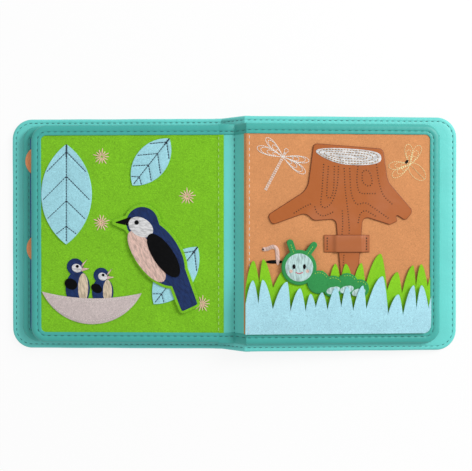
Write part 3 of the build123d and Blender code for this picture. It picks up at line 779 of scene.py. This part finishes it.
page_level = front_fold[2] + green_top
lip = page_edge("green_page_edge", [(front_fold[0] + way, page_level + rise) for way, rise in (
    (-4.4, -0.7), (-2.6, -0.1), (-1.2, 0.1), (0.8, 0.05), (3.2, -0.1))], green_felt)
line = np.linspace(-87, 87, 60)
page_stitch = dict(pitch=5.3, length=3.0, width=0.6)
pale_green_thread = thread("pale_green_thread", 176, 216, 130)
row = stitches(front_half, -1.4 + 0 * line, line, green_top + 0.42, **page_stitch)
sewn = sew("green_gutter_stitches", [row], [pale_green_thread], None)
for piece in (lip, sewn):
    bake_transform(piece)


def on_strip(x):
    """A point 0.62 mm off the right strip at x."""
    return x, seam_z + (x - seam_x) / (brown_edge[0] - seam_x) * (brown_edge[2] - seam_z) + 0.62


on_page = [place(back_half, way, 0, brown_top + rise)[::2] * 1000
           for way, rise in ((1.6, 0.1), (3.4, 0.05), (5.6, -0.7))]
lip = page_edge("brown_page_edge", [on_strip(10.9), on_strip(11.9), *on_page], brown_felt)
line = np.linspace(-57, 87, 60)
row = stitches(back_half, 3.8 + 0 * line, line, brown_top + 0.3, **page_stitch)
sewn = sew("brown_gutter_stitches", [row], [pale_thread], "back_half")
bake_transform(lip)

# Outline insects: a dragonfly and a bee drawn on the brown felt in single lines of backstitch, the first in
# white thread and the second in a straw-coloured one, with a small dark head.
white_thread = thread("white_thread", 238, 232, 226)
straw_thread = thread("straw_thread", 242, 222, 168)


def wing_loop(root, length, width, angle):
    """A teardrop loop that leaves a root point at an angle: length (1 - cos t) / 2 along it, and across it
    width sin t times the square root of the share of its length."""
    t = np.linspace(0, 2 * np.pi, 60)
    along = length * (1 - np.cos(t)) / 2
    across = width * np.sin(t) * np.sqrt((1 - np.cos(t)) / 2) / 2
    cos, sin = math.cos(angle), math.sin(angle)
    return root[0] + along * cos - across * sin, root[1] + along * sin + across * cos


rows = []
root = np.array(brown_spot(0.196, 0.880))
for angle, length, width in ((132, 22, 7.5), (160, 24, 8.5), (-8, 23, 7.5), (-36, 24, 8.5)):
    for size in (1.0, 0.86, 0.62, 0.4):
        rows.append(wing_loop(root, size * length, size * width, math.radians(angle)))
for offset in (-0.9, 0.0, 0.9):
    way = np.linspace(-4, 33, 40)
    aim = math.radians(242)
    rows.append((root[0] + way * math.cos(aim) - offset * math.sin(aim),
                 root[1] + way * math.sin(aim) + offset * math.cos(aim)))
rows.append(wing_loop(root + [1.5, 3.0], 4.5, 4.5, math.radians(62)))
lines = [stitches(back_half, x, y, brown_top + 0.2, pitch=1.9, length=1.8, width=0.62) for x, y in rows]
sew("dragonfly_threads", lines, [white_thread], "back_half")
rows = []
root = np.array(brown_spot(0.885, 0.845))
for angle, length, width in ((62, 19, 9), (96, 18, 9), (184, 19, 9), (214, 19, 9)):
    for size in (1.0, 0.72, 0.44):
        rows.append(wing_loop(root, size * length, size * width, math.radians(angle)))
loop = np.linspace(0, 2 * np.pi, 60)
for long, wide in ((9.5, 5.6), (9.5, 0.01)):
    along, across = 9.0 + long * np.cos(loop), wide * np.sin(loop)
    rows.append((root[0] + 0.7 * (along + across), root[1] + 0.7 * (across - along)))
lines = [stitches(back_half, x, y, brown_top + 0.2, pitch=1.9, length=1.6, width=0.58) for x, y in rows]
sew("bee_threads", lines, [straw_thread], "back_half")
bee_head = pillow(back_half, root + [-3.0, 2.5], circle, oval(2.0, 1.2, 0.9), brown_top, 0.5, 0.15, 0.2)
sew("bee_head", [bee_head], [black_satin], "back_half")


# Tree-stump flap: one piece of red-brown imitation leather with a dark painted cut edge. Its tongue is
# tucked under a keeper strap. Dotted stitches draw the grain, and a pale satin field the sawn face with its
# rings.
def rounded(corners, radii, points=9):
    """A closed outline whose corners are turned by arcs: each arc starts and ends at radius times the
    tangent of half the turn from its corner, and is sampled at equal angles."""
    corners, radii = np.array(corners), np.array(radii)
    back = np.roll(corners, 1, 0) - corners
    ahead = np.roll(corners, -1, 0) - corners
    back, ahead = [way / np.hypot(*way.T)[:, None] for way in (back, ahead)]
    half = np.arccos(np.clip((back * ahead).sum(1), -1, 1)) / 2
    bisector = back + ahead
    bisector = bisector / np.hypot(*bisector.T)[:, None]
    centre = corners + bisector * (radii / np.sin(half))[:, None]
    first = corners + back * (radii / np.tan(half))[:, None] - centre
    last = corners + ahead * (radii / np.tan(half))[:, None] - centre
    k = np.linspace(0, 1, points)[None, :, None]
    open_angle = (np.pi - 2 * half)[:, None, None]
    blend = np.sin((1 - k) * open_angle) * first[:, None] + np.sin(k * open_angle) * last[:, None]
    return (centre[:, None] + blend / np.sin(open_angle)).reshape(-1, 2)


def cut_out(half, outline, bottom, thick, soft):
    """A flat cut piece: an edge profile carried round a closed outline along its inward normals, closed by
    one face above and one below."""
    ahead = np.roll(outline, -1, 0) - np.roll(outline, 1, 0)
    inward = np.stack([-ahead[:, 1], ahead[:, 0]], -1) / (np.hypot(*ahead.T) + 1e-9)[:, None]
    if (outline[:, 0] * np.roll(outline[:, 1], -1) - outline[:, 1] * np.roll(outline[:, 0], -1)).sum() < 0:
        inward = -inward
    inset = soft * np.array([0.3, 0.0, 0.0, 0.12, 0.5, 1.0, 1.6])[:, None, None]
    level = bottom + np.array([0, 0.2, 0.62, 0.85, 0.97, 1.0, 1.0])[:, None] * thick
    ring = outline + inset * inward
    return place(half, ring[..., 0], ring[..., 1], level)


stump_shares = np.array([
    (0.360, 0.948), (0.736, 0.923), (0.763, 0.760), (0.902, 0.613), (0.859, 0.565), (0.804, 0.598),
    (0.815, 0.563), (0.774, 0.545), (0.627, 0.588), (0.600, 0.280), (0.507, 0.280), (0.480, 0.573),
    (0.360, 0.565), (0.316, 0.603), (0.136, 0.543), (0.112, 0.593), (0.327, 0.720),
])
stump_radii = np.array([3.6, 4.6, 16.0, 4.6, 3.2, 1.0, 1.6, 3.0, 4.5, 1.6, 1.6, 4.5, 6.5, 7.0, 4.0, 4.2, 16.0])
stump_outline = rounded(np.stack(brown_spot(*stump_shares.T), -1), stump_radii)
# The second colour paints paler patches of soft reflection into the lightest mottling of the dye.
stump_leather = leather("stump_leather", 172, 91, 31, 0.42, (177, 101, 55))
edge_paint = leather("stump_edge_paint", 118, 56, 22, 0.5)
flap = cut_out(back_half, stump_outline, brown_top, 1.25, 0.55)
stump = sew("stump_flap_cut", [flap], [stump_leather, edge_paint], "back_half", ["stump_flap"])
painted = np.arange(len(stump.data.polygons)) < 5 * len(stump_outline)
stump.data.polygons.foreach_set("material_index", painted.astype(int))
bark_thread = thread("bark_thread", 70, 42, 10)
grain_lines = (
    ((0.415, 0.85), (0.405, 0.70), (0.395, 0.64), (0.425, 0.625), (0.465, 0.66), (0.490, 0.74), (0.495, 0.84)),
    ((0.440, 0.84), (0.432, 0.72), (0.430, 0.68), (0.455, 0.675), (0.470, 0.72), (0.472, 0.84)),
    ((0.525, 0.83), (0.530, 0.72), (0.545, 0.62), (0.555, 0.52), (0.548, 0.47)),
    ((0.555, 0.83), (0.560, 0.70), (0.590, 0.64), (0.640, 0.66), (0.700, 0.62), (0.770, 0.575)),
    ((0.600, 0.84), (0.592, 0.76), (0.605, 0.70), (0.660, 0.70), (0.700, 0.70)),
    ((0.625, 0.81), (0.620, 0.76), (0.650, 0.735), (0.680, 0.745), (0.672, 0.79), (0.655, 0.82), (0.625, 0.81)),
    ((0.700, 0.85), (0.712, 0.76), (0.735, 0.69), (0.790, 0.645)),
    ((0.250, 0.600), (0.310, 0.635), (0.350, 0.650)),
    ((0.365, 0.640), (0.375, 0.605), (0.410, 0.585), (0.470, 0.610)),
    ((0.515, 0.62), (0.518, 0.54), (0.512, 0.48)),
    ((0.600, 0.55), (0.610, 0.60), (0.640, 0.62), (0.700, 0.585)),
    ((0.525, 0.40), (0.520, 0.34)),
)
rows = []
for corners in grain_lines:
    knots = np.array(corners)
    k = np.linspace(0, len(knots) - 1, 12 * len(knots))
    u, v = [np.interp(k, np.arange(len(knots)), knots[:, axis]) for axis in (0, 1)]
    x, y = brown_spot(evened(u, 30), evened(v, 30))
    rows.append(stitches(back_half, x, y, brown_top + 1.3, pitch=2.35, length=1.0, width=1.15))
sew("stump_grain_stitches", rows, [bark_thread], "back_half")

sawn_middle = np.array(brown_spot(0.549, 0.882))
sawn_long, sawn_wide = 28.9, 7.1
fan = np.linspace(0, 2 * np.pi, 240, endpoint=False)


def sawn_edge(angle, inset):
    """The sawn face's outline: an oval of power 2.3 below and 3.4 above, which is flatter than an ellipse,
    narrowed and raised towards its left end and tilted down to the right; inset draws it in for the
    rings."""
    cos, sin = np.cos(angle), np.sin(angle)
    power = np.where(sin > 0, 3.4, 2.3)
    long, wide = sawn_long - 2.2 * inset, sawn_wide - inset
    reach = (np.abs(cos / long) ** power + np.abs(sin / wide) ** power) ** (-1 / power)
    x, y = reach * cos, reach * sin
    left = np.clip(-x / sawn_long, 0, 1) ** 2
    return x, y * (1 - 0.5 * left) - 0.06 * x + 2.6 * left


x, y = sawn_edge(fan, 0.0)
patch = pillow(back_half, sawn_middle, np.arctan2(y, x), np.hypot(x, y), brown_top + 1.15, 0.5, 0.05, 0.3)
sew("stump_sawn_face", [patch], [white_satin], "back_half", ["stump_cut_face"])
gold_thread = thread("gold_thread", 164, 120, 56)
rows = []
loop = np.linspace(0, 2 * np.pi, 120)
for inset in (1.3, 3.4, 5.5):
    x, y = sawn_edge(loop, inset)
    spot = (sawn_middle[0] + x, sawn_middle[1] + y, brown_top + 1.72)
    rows.append(stitches(back_half, *spot, pitch=2.6, length=2.4, width=0.72))
sew("stump_ring_stitches", rows, [gold_thread], "back_half")

# Keeper strap: a short band of the stump's leather with the same dark painted edge. It is sewn down at both
# ends and arched over the stump's tongue.
strap_x = np.linspace(*brown_spot(np.array([0.418, 0.663]), 0)[0], 44)
tongue = brown_spot(np.array([0.487, 0.614]), 0)[0]
arch = np.clip((strap_x - tongue[0] + 4.5) / 4.0, 0, 1) * np.clip((tongue[1] + 4.5 - strap_x) / 4.0, 0, 1)
arch = 1.5 * arch * arch * (3 - 2 * arch)
top_y, low_y = brown_spot(0, np.array([0.493, 0.410]))[1]
band_y = np.array([top_y, top_y, top_y - 0.2, top_y - 0.7, top_y - 4,
                   low_y + 4, low_y + 0.7, low_y + 0.2, low_y, low_y])
band_z = brown_top + np.array([0.05, 0.7, 0.95, 1.05, 1.12, 1.12, 1.05, 0.95, 0.7, 0.05])
band = place(back_half, strap_x[:, None], band_y, band_z + arch[:, None])
rim_y = band_y + 0.3 * np.sign(band_y - (top_y + low_y) / 2)
painted = place(back_half, strap_x[:, None], rim_y, band_z + arch[:, None] - 0.1)
# The second colour paints paler patches of soft reflection into the lightest mottling of the dye.
strap_leather = leather("strap_leather", 171, 95, 46, 0.4, (176, 104, 66))
strap = sew("keeper_strap_band", [band], [strap_leather], "back_half", ["keeper_strap"])
rim = sew("keeper_strap_edge", [painted], [edge_paint], "back_half")
line = np.linspace(top_y - 1.4, low_y + 1.4, 20)
ends = [stitches(back_half, x + 0 * line, line, brown_top + 1.18, pitch=2.4, length=1.7, width=1.0)
        for x in (strap_x[0] + 2.6, strap_x[-1] - 2.6)]
sew("keeper_strap_stitches", ends, [bark_thread], "back_half")

# Worm: a bent roll of pink satin thread that comes up out of a small dark hole and turns to the left, with
# a dark dot for its eye.
worm_line = np.array([(0.168, 0.345), (0.168, 0.430), (0.140, 0.440), (0.112, 0.424), (0.083, 0.424)])
way = np.linspace(0, 4, 40)
worm_x, worm_y = [evened(np.interp(way, np.arange(5), line), 24) for line in brown_spot(*worm_line.T)]
tx, ty = np.gradient(worm_x), np.gradient(worm_y)
size = np.hypot(tx, ty)
girth = 1.8 * np.minimum(1, np.sqrt(np.clip(np.minimum(np.arange(40), np.arange(40)[::-1]) / 2.2, 0.02, 1)))
turn = np.linspace(0, 2 * np.pi, 14, endpoint=False)
out = girth[:, None] * np.cos(turn)
roll = place(back_half, worm_x[:, None] - (ty / size)[:, None] * out,
             worm_y[:, None] + (tx / size)[:, None] * out,
             brown_top + 0.35 + 0.35 * girth[:, None] * np.sin(turn))
sew("worm_roll", [roll], [pink_satin], "back_half", ["worm"])
hole = oval(7.4, 1.6)
hole = pillow(back_half, np.array(brown_spot(0.150, 0.362)), circle, hole, brown_top, 0.55, 0.15, 0.2)
eye = pillow(back_half, (worm_x[-3], worm_y[-3]), circle, 0.75 + 0 * circle, brown_top + 0.9, 0.2, 0.1, 0.1)
sew("worm_hole_and_eye", [hole, eye], [black_satin], "back_half")


# Grass: two felt strips cut into blades, a green one behind and a light-blue one in front. Both are sewn at
# the foot, so that they make a pocket.
def grass(name, blades, last_root, low, high, finish, node):
    """Blades between a foot line and a saw-edged top: along each side from a root to a tip the edge rises
    by one less the remaining share to the power 1.8, which makes the sides convex and the tip round. low
    and high are the two faces' heights at the foot and past 14 mm; the columns run from the foot up the
    front and down behind."""
    blades = np.array(blades)
    roots = np.stack(brown_spot(*np.concatenate([blades[:, :2], [last_root]]).T), -1)
    tips = np.stack(brown_spot(*blades[:, 2:].T), -1)
    left = np.linspace(1, 0, 14)[None, :] ** 1.5
    climb = np.stack([1 - left, 1 - left**1.8], -1)
    rise = roots[:-1, None] + (tips - roots[:-1])[:, None] * climb
    fall = roots[1:, None] + (tips - roots[1:])[:, None] * climb
    top = np.concatenate([rise, fall[:, ::-1]], 1).reshape(-1, 2)
    edge = brown_spot(1.0, 0)[0] - 1.2
    top = np.concatenate([top[top[:, 0] < edge - 0.4], [[edge, np.interp(edge, top[:, 0], top[:, 1])]]])
    foot = grass_foot + 6.5 - np.sqrt(6.5**2 - np.clip(top[:, :1] - edge + 6.5, 0, 6.4) ** 2)
    share = np.array([0, 0.06, 0.14, 0.25, 0.4, 0.6, 0.8, 0.93, 1.0])
    y = foot + (top[:, 1:] - foot) * share
    near = np.clip((y - grass_foot) / 14.0, 0, 1)
    near = near * near * (3 - 2 * near)
    curl = 0.25 * np.sin(top[:, :1] / 4.7) * share**3
    front = high[0] + (high[1] - high[0]) * near + curl
    behind = low[0] + (low[1] - low[0]) * near + curl
    x = np.repeat(top[:, :1], 2 * len(share), 1)
    points = place(back_half, x, np.concatenate([y, y[:, ::-1]], 1),
                   np.concatenate([front, behind[:, ::-1]], 1))
    piece = sew(name, [points], [finish], "back_half", [node])
    return top


grass_foot = -87.3
grass_felt = felt("grass_felt", 133, 202, 34)
grass("grass_back_felt", (
    (-0.006, 0.230, 0.037, 0.368), (0.068, 0.255, 0.089, 0.375), (0.142, 0.233, 0.229, 0.345),
    (0.289, 0.245, 0.327, 0.335), (0.365, 0.240, 0.406, 0.320), (0.442, 0.255, 0.478, 0.352),
    (0.506, 0.264, 0.533, 0.352), (0.573, 0.255, 0.618, 0.355), (0.640, 0.243, 0.722, 0.401),
    (0.757, 0.219, 0.814, 0.310), (0.839, 0.202, 0.900, 0.343), (0.914, 0.235, 0.943, 0.349),
    (0.979, 0.237, 1.020, 0.330),
), (1.060, 0.237), (5.25, 6.45), (7.3, 7.4), grass_felt, "grass_back")

# Grub: a loose padded felt figure tucked into the pocket. Its head and body are round cushions that run
# into each other, with two feelers; the face is a patch of pale satin with dot eyes, cheeks and a small
# smile.
leaf_felt = felt("leaf_felt", 52, 146, 78)
grub_head, grub_radius, grub_level = np.array(brown_spot(0.280, 0.335)), 15.4, 7.4
grub_body = ((0.385, 0.262, 0.66), (0.463, 0.240, 0.62), (0.540, 0.252, 0.62), (0.608, 0.230, 0.52))
cushions = [pillow(back_half, grub_head, circle, grub_radius + 0 * circle, grub_level, 1.9, 0.25, 0.8)]
for u, v, size in grub_body:
    outline = grub_radius * size + 0 * circle
    cushions.append(pillow(back_half, np.array(brown_spot(u, v)), circle, outline, grub_level, 1.7, 0.45, 0.9))
feeler_lines = []
for root, tip in (((0.258, 0.390), (0.232, 0.457)), ((0.316, 0.388), (0.360, 0.445))):
    root, tip = np.array(brown_spot(*root)), np.array(brown_spot(*tip))
    length = np.hypot(*(tip - root))
    beside = (tip - root)[::-1] * [-0.01, 0.01] / length
    outline = ray_margin(circle, (root + tip) / 2, [root, tip, tip + beside], 2.9)
    cushions.append(pillow(back_half, (root + tip) / 2, circle, outline, grub_level, 1.6, 0.2, 0.6))
    feeler_lines.append((root + 0.05 * (tip - root), root + 0.9 * (tip - root)))
grub = sew("grub_cushions", cushions, [leaf_felt], "back_half", ["grub_body"])
mint_satin = satin("mint_satin", 196, 232, 226, 4, 1.3)
face = pillow(back_half, grub_head, circle, 12.2 + 0 * circle, 9.2, 0.5, 0.2, 0.3)
sew("grub_face_satin", [face], [mint_satin], "back_half", ["grub_face"])
bellies = []
for u, v in ((0.463, 0.222), (0.536, 0.226), (0.600, 0.212)):
    outline = oval(6.2, 3.4, 0.25)
    bellies.append(pillow(back_half, np.array(brown_spot(u, v)), circle, outline, 9.0, 0.5, 0.15, 0.3))
sew("grub_belly_satin", bellies, [mint_satin], "back_half")
eyes = [pillow(back_half, grub_head + [way * 4.6, 0.8], circle, oval(1.35, 2.1), 9.75, 0.4, 0.12, 0.15)
        for way in (-1, 1)]
sew("grub_eyes", eyes, [black_satin], "back_half")
cheeks = [pillow(back_half, grub_head + [way * 7.2, -3.2], circle, 1.5 + 0 * circle, 9.6, 0.4, 0.1, 0.15)
          for way in (-1, 1)]
sew("grub_cheeks", cheeks, [pink_satin], "back_half")
bow = np.radians(np.linspace(225, 315, 24))
x, y = grub_head[0] + 4.4 * np.cos(bow), grub_head[1] - 0.8 + 4.4 * np.sin(bow)
smile = stitches(back_half, x, y, 10.0, pitch=1.4, length=1.38, width=0.95)
sew("grub_smile", [smile], [thread("rose_thread", 214, 66, 100)], "back_half")
lime_thread = thread("lime_thread", 176, 208, 62)
rows = [stitches(back_half, *np.linspace(a, b, 12).T, 9.2, pitch=2.2, length=1.9, width=0.6)
        for a, b in feeler_lines]
bow = np.radians(np.linspace(28, 118, 24))
for u, v, size in grub_body:
    x, y = brown_spot(u, v)
    radius = grub_radius * (size - 0.12)
    arc = (x + radius * np.cos(bow), y + radius * np.sin(bow), 9.25)
    rows.append(stitches(back_half, *arc, pitch=2.2, length=1.7, width=0.55))
sew("grub_stitches", rows, [lime_thread], "back_half")

# Front grass: the light-blue strip, laid over the grub's foot and sewn at its left end with a pale thread.
# Its blades are cut like the green ones.
mist_felt = felt("mist_felt", 170, 221, 235, 1.2)
grass("grass_front_felt", (
    (-0.006, 0.156, 0.033, 0.272), (0.062, 0.156, 0.085, 0.275), (0.139, 0.130, 0.215, 0.265),
    (0.233, 0.120, 0.284, 0.232), (0.314, 0.118, 0.341, 0.205), (0.368, 0.138, 0.402, 0.212),
    (0.431, 0.125, 0.478, 0.236), (0.505, 0.138, 0.537, 0.240), (0.569, 0.120, 0.622, 0.245),
    (0.640, 0.127, 0.728, 0.290), (0.758, 0.105, 0.815, 0.200), (0.839, 0.094, 0.898, 0.245),
    (0.912, 0.128, 0.940, 0.245), (0.978, 0.131, 1.020, 0.240),
), (1.060, 0.131), (7.4, 9.45), (8.8, 10.4), mist_felt, "grass_front")
line = np.linspace(-87, -60, 12)
row = stitches(back_half, 3.0 + 0 * line, line, 9.6, pitch=2.4, length=1.4, width=0.5)
sew("front_grass_stitches", [row], [pale_thread], "back_half")

# Studio: a plain pale floor that reads as white to the camera and keeps the book's soft shadow, an even sky
# and one broad round lamp some 2 m off to the upper right, and a camera that looks down from a little to
# the right.
floor_mesh = bpy.data.meshes.new("floor")
floor_mesh.from_pydata([(-3, -3, 0), (3, -3, 0), (3, 3, 0), (-3, 3, 0)], [], [(0, 1, 2, 3)])
floor = bpy.data.objects.new("floor", floor_mesh)
bpy.context.scene.collection.objects.link(floor)
floor_paint = bpy.data.materials.new("floor_paint")
floor_paint.use_nodes = True
tree = floor_paint.node_tree
tree.nodes["Principled BSDF"].inputs["Base Color"].default_value = (0.9, 0.9, 0.9, 1)
tree.nodes["Principled BSDF"].inputs["Roughness"].default_value = 0.9
seen = wire(tree, "LightPath", {})
glow = wire(tree, "Emission", {"Color": (1, 1, 1, 1), "Strength": 1.0})
much = wire(tree, "Math", {0: seen.outputs["Is Camera Ray"], 1: 0.87}, operation="MULTIPLY")
mixed = wire(tree, "MixShader", {0: much.outputs["Value"], 1: tree.nodes["Principled BSDF"].outputs["BSDF"],
                                 2: glow.outputs["Emission"]})
tree.links.new(mixed.outputs["Shader"], tree.nodes["Material Output"].inputs["Surface"])
floor_mesh.materials.append(floor_paint)

world = bpy.data.worlds.new("studio")
world.use_nodes = True
seen = wire(world.node_tree, "LightPath", {})
level = wire(world.node_tree, "MapRange", {"Value": seen.outputs["Is Camera Ray"], "To Min": 0.62, "To Max": 1.0})
world.node_tree.links.new(level.outputs["Result"], world.node_tree.nodes["Background"].inputs["Strength"])
world.node_tree.nodes["Background"].inputs["Color"].default_value = (1, 1, 1, 1)
bpy.context.scene.world = world
lamp_way, lamp_far, lamp_light = Vector((0.71, 0.41, 0.575)).normalized(), 1.9, 2.25
lamp_data = bpy.data.lights.new("broad_lamp", "AREA")
lamp_data.shape = "DISK"
lamp_data.size = 0.46 * lamp_far
lamp_data.energy = lamp_light * math.pi * lamp_far**2
lamp = bpy.data.objects.new("broad_lamp", lamp_data)
lamp.location = lamp_far * lamp_way
lamp.rotation_euler = lamp_way.to_track_quat("Z", "Y").to_euler()
lamp.visible_camera = False
bpy.context.scene.collection.objects.link(lamp)

picture_width, distance = 0.4217, 0.6513
turn_left, tilt_up = math.radians(1.7), math.radians(-0.41)
aim = np.array([0.0034, -0.0015, 0.010])
camera_data = bpy.data.cameras.new("camera")
camera_data.sensor_width = 36.0
camera_data.lens = 36.0 * distance / picture_width
camera = bpy.data.objects.new("camera", camera_data)
camera.location = aim + distance * np.array([math.cos(tilt_up) * math.sin(turn_left), -math.sin(tilt_up),
                                             math.cos(tilt_up) * math.cos(turn_left)])
camera.rotation_euler = (tilt_up, turn_left, 0)
bpy.context.scene.collection.objects.link(camera)
bpy.context.scene.camera = camera
bpy.context.scene.view_settings.view_transform = "Standard"
